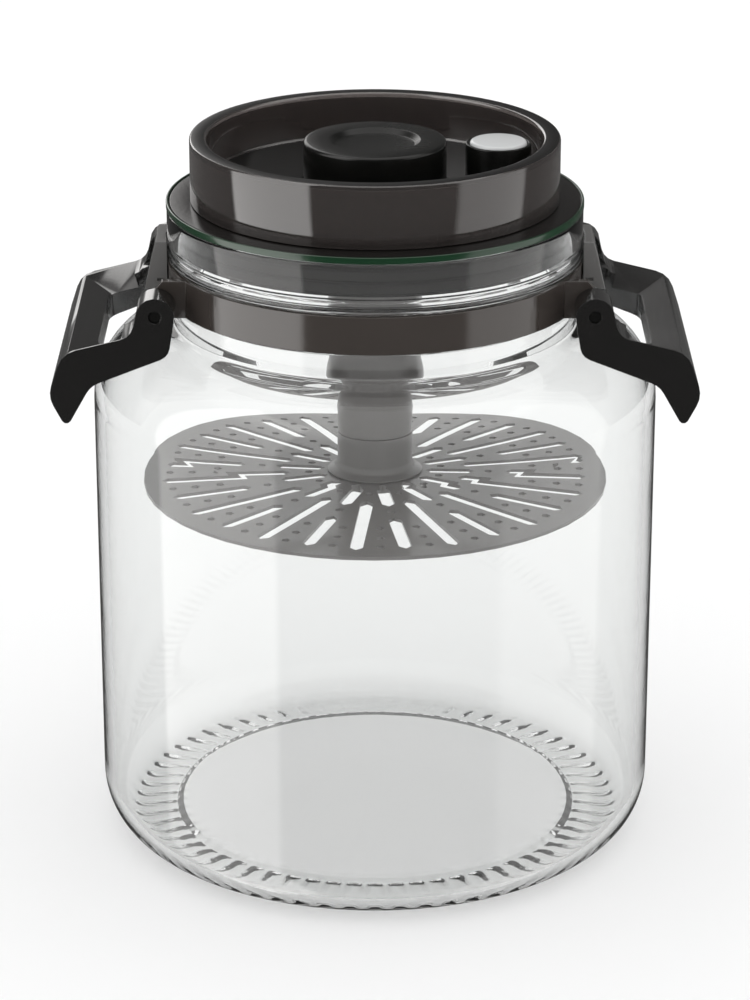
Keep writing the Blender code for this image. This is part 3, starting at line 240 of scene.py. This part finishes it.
# %%
def drifting_colour(tree, shader, place, colour, drift, scale):
    cloud = node(tree, "ShaderNodeTexNoise", Scale=scale, Detail=3.0, Roughness=0.55)
    tree.links.new(place, cloud.inputs["Vector"])
    tint = node(tree, "ShaderNodeMix", data_type="RGBA")
    tint.inputs[6].default_value = (*[c * (1 - drift) for c in colour], 1.0)
    tint.inputs[7].default_value = (*[min(1.0, c * (1 + drift)) for c in colour], 1.0)
    tree.links.new(cloud.outputs["Fac"], tint.inputs[0])
    tree.links.new(tint.outputs[2], shader.inputs["Base Color"])
    return cloud.outputs["Fac"]


def shallow_bump(tree, shader, place, strength, scale):
    grain = node(tree, "ShaderNodeTexNoise", Scale=scale, Detail=2.0)
    tree.links.new(place, grain.inputs["Vector"])
    relief = tree.nodes.new("ShaderNodeBump")
    relief.inputs["Strength"].default_value = strength
    relief.inputs["Distance"].default_value = 0.001
    tree.links.new(grain.outputs["Fac"], relief.inputs["Height"])
    tree.links.new(relief.outputs["Normal"], shader.inputs["Normal"])


def moulded(name, colour, roughness, drift=0.12, drift_scale=35.0, bump=0.02, bump_scale=900.0,
            wear=0.0, stretch=(1.0, 1.0, 1.0), **values):
    """A finish for one moulded piece. values are sockets of the shader, set as they are."""
    finish = bpy.data.materials.new(name)
    finish.use_nodes = True
    tree = finish.node_tree
    shader = tree.nodes["Principled BSDF"]
    shader.inputs["Base Color"].default_value = (*colour, 1.0)
    shader.inputs["Roughness"].default_value = roughness
    shader.inputs["Coat Roughness"].default_value = 0.04
    for socket, value in values.items():
        shader.inputs[socket.replace("_", " ")].default_value = value
    texture_place = tree.nodes.new("ShaderNodeTexCoord")
    scale = tree.nodes.new("ShaderNodeMapping")
    scale.inputs["Scale"].default_value = stretch
    tree.links.new(texture_place.outputs["Object"], scale.inputs["Vector"])
    place = scale.outputs[0]
    if drift > 0:
        cloud = drifting_colour(tree, shader, place, colour, drift, drift_scale)
        if wear > 0:
            spread = node(tree, "ShaderNodeMapRange")
            spread.inputs["To Min"].default_value = max(0.0, roughness - wear)
            spread.inputs["To Max"].default_value = roughness + wear
            tree.links.new(cloud, spread.inputs["Value"])
            tree.links.new(spread.outputs["Result"], shader.inputs["Roughness"])
    if bump > 0:
        shallow_bump(tree, shader, place, bump, bump_scale)
    return finish


# %%
GLASS = moulded("clear_jar_finish", (0.95, 0.957, 0.953), 0.0, drift=0.0, bump=0.02,
                bump_scale=40.0, Transmission_Weight=1.0, IOR=1.46)
# The base disc is the jar's own glass in a whiter copy that does not tint: painted light, to lift the
# shade under the jar.
BASE_GLASS_PAINTED_LIGHT = moulded("jar_base_painted_light_finish", (1.0, 1.0, 1.0), 0.0, drift=0.0, bump=0.02,
                bump_scale=40.0, Transmission_Weight=1.0, IOR=1.46)
SMOKE = moulded("smoke_cap_finish", (0.125, 0.108, 0.102), 0.04, drift=0.06, drift_scale=30.0,
                bump=0.02, bump_scale=60.0, wear=0.02, Transmission_Weight=0.8, IOR=1.49,
                Coat_Weight=1.0)
# A near-black opaque copy of the smoke cap's plastic, for its well and its rim top: painted shade.
PAINTED_SHADE_WELL = moulded("cap_well_painted_shade_finish", (0.0045, 0.0042, 0.004), 0.35, drift=0.15, bump=0.03,
               bump_scale=900.0, Specular_IOR_Level=0.25)
DARK = moulded("plug_finish", (0.013, 0.0118, 0.011), 0.22, drift=0.15, bump=0.03,
               bump_scale=500.0, Specular_IOR_Level=0.2)
BLACK = moulded("black_knob_finish", (0.004, 0.0042, 0.0036), 0.26, drift=0.2, wear=0.05,
                bump=0.04, bump_scale=1400.0, Specular_IOR_Level=0.35)
BAND = moulded("neck_band_finish", (0.044, 0.037, 0.033), 0.14, drift=0.12, bump=0.02,
               bump_scale=300.0, wear=0.04, Coat_Weight=0.5)
HANDLE = moulded("handle_finish", (0.0075, 0.0072, 0.0068), 0.20, drift=0.15, bump=0.03,
                 bump_scale=700.0, wear=0.05, Coat_Weight=0.8)
LUG = moulded("lug_finish", (0.16, 0.157, 0.153), 0.26, drift=0.08, bump=0.02, wear=0.04,
              Coat_Weight=0.4)
GREEN = moulded("green_gasket_finish", (0.003, 0.032, 0.011), 0.22, drift=0.2, bump=0.04,
                wear=0.05, Coat_Weight=0.5)
PALE = moulded("vent_button_finish", (0.60, 0.61, 0.61), 0.25, drift=0.03, bump=0.02, wear=0.05)
GREY = moulded("grey_tube_finish", (0.17, 0.162, 0.157), 0.30, drift=0.06, bump=0.03, wear=0.05,
               Coat_Weight=0.3)
RUBBER = moulded("white_silicone_finish", (0.62, 0.62, 0.60), 0.5, drift=0.05, bump=0.05, wear=0.05)
STEEL = moulded("spring_wire_finish", (0.60, 0.60, 0.61), 0.25, drift=0.05, bump=0.03, wear=0.05,
                stretch=(1.0, 1.0, 12.0), Metallic=1.0)
print("finishes:", len(bpy.data.materials))

# %% [markdown]
# ## Turning a profile
#
# The jar, the lid, the pump, the vent and the tube are all round, so each is a profile turned about
# its axis. A Screw modifier would do it too, but turning it here keeps the pole one point and the
# ring closed. A profile is a list of (radius, height) points in millimetres. A third number rounds
# that corner.

# %%
def rounded(points, steps=4):
    """The profile with an arc at each corner that has a radius."""
    closed = points[0][0] > 0
    made = []
    count = len(points)
    for i, point in enumerate(points):
        if len(point) < 3 or (not closed and i in (0, count - 1)):
            made.append(point[:2])
            continue
        here = Vector(point[:2])
        before = Vector(points[i - 1][:2])
        after = Vector(points[(i + 1) % count][:2])
        to_before = (before - here).normalized()
        to_after = (after - here).normalized()
        half = to_before.angle(to_after) / 2
        room = min((before - here).length, (after - here).length) * 0.48
        reach = min(point[2] / math.tan(half), room)
        radius = reach * math.tan(half)
        centre = here + (to_before + to_after).normalized() * radius / math.sin(half)
        start = here + to_before * reach - centre
        end = here + to_after * reach - centre
        first = math.atan2(start.y, start.x)
        sweep = (math.atan2(end.y, end.x) - first + math.pi) % (2 * math.pi) - math.pi
        for step in range(steps + 1):
            angle = first + sweep * step / steps
            made.append((centre.x + radius * math.cos(angle), centre.y + radius * math.sin(angle)))
    return made


def ellipse(centre, width, height, start, end, steps=14):
    """Points on an ellipse, angles in degrees."""
    points = []
    for i in range(steps + 1):
        angle = math.radians(start + (end - start) * i / steps)
        points.append((centre[0] + width * math.cos(angle), centre[1] + height * math.sin(angle)))
    return points


def finish_mesh(mesh, angle=40.0):
    mesh.shade_smooth()
    mesh.set_sharp_from_angle(angle=math.radians(angle))


def add_piece(name, mesh, material, body, nodes):
    piece = bpy.data.objects.new(name, mesh)
    bpy.context.scene.collection.objects.link(piece)
    mesh.materials.clear()
    mesh.materials.append(material)
    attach(piece, body)
    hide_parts(*nodes)
    return piece


def turned_mesh(name, points, segments=160, centre_x=0.0):
    """Turns a profile about Z, or about an axis beside it."""
    area = 0.0
    for (r0, z0), (r1, z1) in zip(points, points[1:] + points[:1]):
        area += r0 * z1 - r1 * z0
    if area < 0:
        points = points[::-1]
    closed = points[0][0] > 0
    shape = bmesh.new()
    rings = []
    for r, z in points:
        if r == 0:
            rings.append([shape.verts.new((centre_x, 0.0, z * MM))])
            continue
        ring = []
        for i in range(segments):
            angle = 2 * math.pi * i / segments
            ring.append(shape.verts.new((centre_x + r * MM * math.cos(angle),
                                         r * MM * math.sin(angle), z * MM)))
        rings.append(ring)
    pairs = list(zip(rings, rings[1:]))
    if closed:
        pairs.append((rings[-1], rings[0]))
    for low, high in pairs:
        for i in range(segments):
            j = (i + 1) % segments
            if len(low) == 1:
                shape.faces.new((low[0], high[j], high[i]))
            elif len(high) == 1:
                shape.faces.new((low[i], low[j], high[0]))
            else:
                shape.faces.new((low[i], low[j], high[j], high[i]))
    bmesh.ops.recalc_face_normals(shape, faces=shape.faces)
    mesh = bpy.data.meshes.new(name)
    shape.to_mesh(mesh)
    shape.free()
    finish_mesh(mesh)
    return mesh


def turned(name, points, material, body, nodes, segments=160, centre_x=0.0, steps=4):
    mesh = turned_mesh(name, rounded(points, steps), segments, centre_x)
    return add_piece(name, mesh, material, body, nodes)


# %% [markdown]
# ## Trees of nodes
#
# What repeats round the jar's heel is made with Geometry Nodes. The tree gets named inputs for its
# sizes. Its result is then kept as a plain mesh, and the object that carried the modifier goes.


# %%
def new_tree(name, sizes):
    tree = bpy.data.node_groups.new(name, "GeometryNodeTree")
    tree.interface.new_socket("Geometry", in_out="INPUT", socket_type="NodeSocketGeometry")
    for label, value in sizes.items():
        kind = "NodeSocketInt" if isinstance(value, int) else "NodeSocketFloat"
        tree.interface.new_socket(label, in_out="INPUT", socket_type=kind)
    tree.interface.new_socket("Geometry", in_out="OUTPUT", socket_type="NodeSocketGeometry")
    return tree, tree.nodes.new("NodeGroupInput").outputs


def linked(tree, kind, settings=None, **sockets):
    """A node whose named sockets take a number, a vector or another node's output."""
    made = tree.nodes.new(kind)
    for name, value in (settings or {}).items():
        setattr(made, name, value)
    for name, value in sockets.items():
        socket = made.inputs[name.replace("_", " ")]
        if isinstance(value, bpy.types.NodeSocket):
            tree.links.new(value, socket)
        else:
            socket.default_value = value
    return made.outputs[0]


def end_tree(tree, geometry, material):
    whole = linked(tree, "GeometryNodeRealizeInstances", Geometry=geometry)
    painted = linked(tree, "GeometryNodeSetMaterial", Geometry=whole, Material=material)
    output = tree.nodes.new("NodeGroupOutput")
    tree.links.new(painted, output.inputs[0])


def made_by_tree(name, start, tree, sizes):
    """The plain mesh that a tree makes from a start mesh."""
    carrier = bpy.data.objects.new(name, start)
    bpy.context.scene.collection.objects.link(carrier)
    modifier = carrier.modifiers.new(tree.name, "NODES")
    modifier.node_group = tree
    for item in tree.interface.items_tree:
        if item.item_type == "SOCKET" and item.in_out == "INPUT" and item.name in sizes:
            modifier[item.identifier] = sizes[item.name]
    carrier.update_tag()
    depsgraph = bpy.context.evaluated_depsgraph_get()
    mesh = bpy.data.meshes.new_from_object(carrier.evaluated_get(depsgraph))
    bpy.data.objects.remove(carrier, do_unlink=True)
    mesh.name = name
    print(name, "has", len(mesh.polygons), "faces")
    return mesh


# %% [markdown]
# ## Jar
#
# The jar has a real wall, because the bright and dark lines at its neck, its shoulder and its heel
# are made by light that goes through that wall. It stands on a plain ring, and inside that ring the
# heel is pressed into 64 short flutes. The flutes follow a rule, so a tree of nodes lifts the points
# of the turned jar: a wave round the axis, faded out at both ends of each flute.

# %%
BASE_TOP = 8.0 * MM
BASE_REACH = 72.0 * MM
FLUTE_SIZES = {"Flutes": 64, "Depth": 0.6 * MM, "Inner Radius": 73.6 * MM,
               "Outer Radius": 90.5 * MM, "Zone Height": 6.0 * MM}


def build_flute_tree():
    tree, sizes = new_tree("heel_flutes", FLUTE_SIZES)
    position = linked(tree, "GeometryNodeInputPosition")
    split = tree.nodes.new("ShaderNodeSeparateXYZ")
    tree.links.new(position, split.inputs[0])
    x, y, z = split.outputs
    radius = math_node(tree, "SQRT", math_node(tree, "ADD", math_node(tree, "MULTIPLY", x, x),
                                               math_node(tree, "MULTIPLY", y, y)))
    turn = math_node(tree, "MULTIPLY", math_node(tree, "ARCTAN2", y, x), sizes["Flutes"])
    across = soft_step(tree, math_node(tree, "COSINE", turn), -0.16, 0.54)
    start = math_node(tree, "SUBTRACT", radius, sizes["Inner Radius"])
    start = math_node(tree, "DIVIDE", start, 1.8 * MM, clamp=True)
    end = math_node(tree, "SUBTRACT", sizes["Outer Radius"], radius)
    end = math_node(tree, "DIVIDE", end, 2.5 * MM, clamp=True)
    along = math_node(tree, "MINIMUM", start, end)
    lift = math_node(tree, "MULTIPLY", math_node(tree, "MULTIPLY", across, along), sizes["Depth"])
    low = math_node(tree, "LESS_THAN", z, sizes["Zone Height"])
    shift = linked(tree, "ShaderNodeCombineXYZ", Z=math_node(tree, "MULTIPLY", lift, low))
    pressed = linked(tree, "GeometryNodeSetPosition", Geometry=sizes["Geometry"], Offset=shift)
    end_tree(tree, pressed, GLASS)
    return tree


# %%
def build_jar():
    inner = [(0.0, 6.2), (40.0, 6.2), (68.0, 6.2), (71.2, 6.2)]
    inner += ellipse((84.0, 20.0), 12.5, 16.0, -90, 0)
    inner += ellipse((73.0, 163.0), 23.5, 23.5, 0, 66)
    inner += rounded([(82.56, 184.47), (73.4, 187.4, 9.0), (68.0, 195.5, 9.0), (68.0, 212.7, 1.0),
                      (70.0, 216.2, 1.0), (70.0, 231.0)], 6)[1:]
    outer = rounded([(70.0, 231.0), (70.0, 231.9, 0.8), (73.0, 231.9, 1.2), (73.0, 220.1, 0.6),
                     (72.1, 219.2, 0.5), (73.0, 218.3, 0.6), (73.0, 217.4, 0.6), (72.1, 216.6, 0.5),
                     (73.0, 215.8, 0.6), (73.0, 214.9, 0.5), (71.6, 214.1, 0.4), (70.5, 214.1),
                     (70.5, 200.2), (71.3, 199.6, 0.3), (71.4, 191.5, 1.5), (73.2, 190.0)])[1:-1]
    outer += ellipse((73.0, 163.0), 27.0, 27.0, 88, 0)
    heel = ellipse((84.0, 20.0), 16.0, 20.0, 0, -90, 20)
    underside = [(r, 0.0) for r in (82.5, 81.0, 79.0, 77.0, 75.4, 74.6, 74.0, 73.4)]
    underside += [(71.2, 2.2), (60.0, 2.2), (30.0, 2.2), (0.0, 2.2)]
    plain = turned_mesh("jar_without_flutes", inner + outer + heel + underside, 64 * 6)
    mesh = made_by_tree("jar_wall", plain, build_flute_tree(), FLUTE_SIZES)
    finish_mesh(mesh)
    jar = add_piece("jar_wall", mesh, GLASS, "jar", ["jar_body"])
    # The faces of the base disc take the whiter copy of the glass: painted light against the shade
    # under the jar.
    mesh.materials.append(BASE_GLASS_PAINTED_LIGHT)
    for face in mesh.polygons:
        if face.center.z < BASE_TOP and math.hypot(face.center.x, face.center.y) < BASE_REACH:
            face.material_index = 1
    jar.visible_shadow = False


build_jar()

# %% [markdown]
# ## Lid
#
# From the bottom up: a dark plug with ribs that fits in the neck, a green silicone ring at the edge
# of its flange, and a smoke cap on top with a well in its middle. The pump's knob stands in the well,
# with the vent's button and its black ring to the right. The cap is see-through smoke plastic; the
# faces of its well and the top of its rim take a near-black opaque copy of its finish, painted shade
# for the darkness seen in the well and on the rim.

# %%
VENT_X = 43.0 * MM
WELL_REACH = 58.0 * MM
RIM_TOP = 256.0 * MM
RIM_REACH = (59.6 * MM, 64.2 * MM)

turned("lid_flange_and_plug", [
    (4.0, 219.9, 0.4), (4.0, 222.4, 0.4), (66.9, 222.4, 0.8), (66.9, 232.9), (61.7, 232.9),
    (61.7, 234.4), (72.0, 234.4, 0.4), (72.0, 233.3), (69.7, 233.3),
    (69.7, 230.0, 0.4), (68.9, 229.3, 0.3), (69.7, 228.6, 0.4),
    (69.7, 225.6, 0.4), (68.9, 224.9, 0.3), (69.7, 224.2, 0.4),
    (69.7, 221.4, 0.4), (68.9, 220.7, 0.3), (68.9, 219.9, 0.3)], DARK, "lid", ["lid_base"])
turned("gasket_ring", [
    (69.95, 232.2), (69.95, 233.0), (72.3, 233.0), (72.3, 234.6, 0.3), (73.2, 234.6, 0.35),
    (73.2, 232.2, 0.35)], GREEN, "lid", ["lid_gasket"])
cap = turned("cap_shell", [
    (62.5, 234.7), (62.5, 254.5, 0.8), (60.9, 254.5, 0.8), (60.9, 238.5, 0.8), (25.6, 238.5),
    (25.6, 240.5, 0.3), (58.7, 240.5, 1.0), (58.7, 256.7, 0.9), (64.7, 256.7, 0.9),
    (64.7, 234.7, 0.3)], SMOKE, "lid", ["lid_shell"])
# The well and the rim top take the near-black copy: painted shade where the smoke plastic looks dark.
cap.data.materials.append(PAINTED_SHADE_WELL)
for face in cap.data.polygons:
    reach = math.hypot(face.center.x, face.center.y)
    on_rim = face.center.z > RIM_TOP and RIM_REACH[0] < reach < RIM_REACH[1]
    if reach < WELL_REACH or on_rim:
        face.material_index = 1
turned("pump_barrel", [
    (2.0, 222.7), (2.0, 224.2), (25.6, 224.2, 0.5), (25.6, 238.2), (27.6, 238.2),
    (27.6, 222.7)], DARK, "lid", ["pump_cylinder"], 96)
turned("knob", [
    (0.0, 253.7), (14.0, 253.7, 0.6), (15.8, 255.3, 0.6), (25.0, 255.3, 1.3), (25.0, 241.0, 0.4),
    (23.0, 241.0, 0.4), (23.0, 252.0, 0.8), (0.0, 252.0)], BLACK, "pump", ["pump_knob"], 128)
turned("piston", [
    (0.0, 238.5), (24.9, 238.5, 0.4), (24.9, 236.6), (23.4, 236.6), (23.4, 234.4), (24.9, 234.4),
    (24.9, 232.5, 0.3), (20.9, 232.5, 0.3), (20.9, 236.0, 0.5), (0.0, 236.0)],
    GREY, "pump", ["pump_piston"], 96)
turned("vent_ring", [
    (3.2, 240.8), (3.2, 242.8), (10.4, 242.8, 0.3), (10.4, 254.2, 0.3), (11.5, 254.2, 0.4),
    (11.5, 240.8)], BLACK, "lid", ["vent_housing"], 72, VENT_X)
turned("vent_cap", [
    (0.0, 255.0), (10.0, 255.0, 1.2), (10.0, 248.8, 0.3), (8.4, 248.8, 0.3), (8.4, 253.4, 0.5),
    (0.0, 253.4)], PALE, "vent", ["vent_button"], 72, VENT_X)

# %% [markdown]
# ## Tube and hub
#
# The plate hangs from the lid on two tubes that slide into each other. The inner one carries a white
# seal ring, whose friction holds the plate at its height.

# %%
turned("collar_tube", [
    (13.9, 169.3, 0.3), (13.9, 219.6), (22.0, 219.6, 0.4), (22.0, 217.1, 0.4), (16.5, 217.1, 1.2),
    (16.5, 173.4, 0.4), (16.9, 172.6, 0.4), (16.9, 170.4, 0.4), (16.2, 169.3, 0.3)],
    GREY, "lid", ["outer_tube"], 72)
turned("slide_tube", [
    (11.2, 149.4), (11.2, 215.0, 0.4), (13.2, 215.0, 0.4), (13.2, 211.7), (12.2, 211.7),
    (12.2, 209.3), (13.2, 209.3), (13.2, 149.4, 0.2)], GREY, "plate", ["inner_tube"], 72)
turned("hub", [
    (7.0, 128.3), (7.0, 160.1, 0.4), (10.9, 160.1, 0.4), (10.9, 149.1), (13.4, 149.1, 0.3),
    (13.4, 137.0, 3.0), (14.3, 134.6, 2.0), (17.0, 133.2, 0.4), (17.0, 132.6, 0.2), (8.7, 132.6),
    (8.7, 128.3)], GREY, "plate", ["plate_hub"], 72)
turned("nut", [
    (9.0, 128.3), (9.0, 130.8), (13.5, 130.8, 0.5), (13.5, 128.3, 0.5)],
    GREY, "plate", ["plate_nut"], 72)

# %% [markdown]
# ## Plate, band, handles and lugs
#
# The press plate is a thin disc with 14 pairs of slots: a split slot with a hole in its gap, then a
# long one with a hole nearer the hub, and rows of small holes between them. The band is moulded in
# one with two pairs of ears, and each handle turns on two short pins in them. A grey lug stands on
# the band between each pair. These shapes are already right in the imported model, so a copy of each
# gets a small bevel, which catches the light as a moulded edge does.


# %%
def bevelled(node_name, name, material, body, width=0.5 * MM):
    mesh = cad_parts[node_name].data.copy()
    shape = bmesh.new()
    shape.from_mesh(mesh)
    bmesh.ops.remove_doubles(shape, verts=shape.verts, dist=0.02 * MM)
    bmesh.ops.dissolve_limit(shape, angle_limit=math.radians(1.0), verts=shape.verts,
                             edges=shape.edges)
    shape.to_mesh(mesh)
    shape.free()
    mesh.name = name
    piece = add_piece(name, mesh, material, body, [node_name])
    bevel = piece.modifiers.new("bevel", "BEVEL")
    bevel.width = width
    bevel.segments = 3
    bevel.limit_method = "ANGLE"
    bevel.angle_limit = math.radians(35)
    bevel.harden_normals = True
    finish_mesh(mesh, 35.0)
    return piece


bevelled("neck_band", "band_ring", BAND, "jar", 0.3 * MM)
bevelled("press_plate", "slotted_plate", GREY, "plate", 0.12 * MM)
for side in ("left", "right"):
    bevelled(side + "_lever", side + "_handle", HANDLE, side + "_lever")
    bevelled(side + "_lug", side + "_wedge", LUG, "jar", 0.35 * MM)

# %% [markdown]
# ## Small inner pieces
#
# The springs, seals, stems and pins are mostly hidden in the lid and in the ears. They keep their
# imported shapes and only take a finish. The two springs are copied into pieces of their own on the
# lid.

# %%
for name, material in (("pump_rod", GREY), ("piston_seal", RUBBER), ("check_valve", RUBBER),
                       ("vent_stem", GREY),
                       ("vent_seal", RUBBER), ("tube_seal_ring", RUBBER)):
    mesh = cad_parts[name].data
    mesh.materials.clear()
    mesh.materials.append(material)
for side in ("left", "right"):
    for part in ("front_pin", "back_pin"):
        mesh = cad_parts[side + "_" + part].data
        mesh.materials.clear()
        mesh.materials.append(BLACK)

# %%
PUMP_TRAVEL = 8.0 * MM
VENT_TRAVEL = 2.5 * MM
for name, joint, travel in (("pump", "pump_press", PUMP_TRAVEL), ("vent", "vent_press", VENT_TRAVEL)):
    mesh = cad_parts[name + "_spring"].data.copy()
    coil = add_piece(name + "_coil", mesh, STEEL, "lid", [name + "_spring"])
    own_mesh(coil)
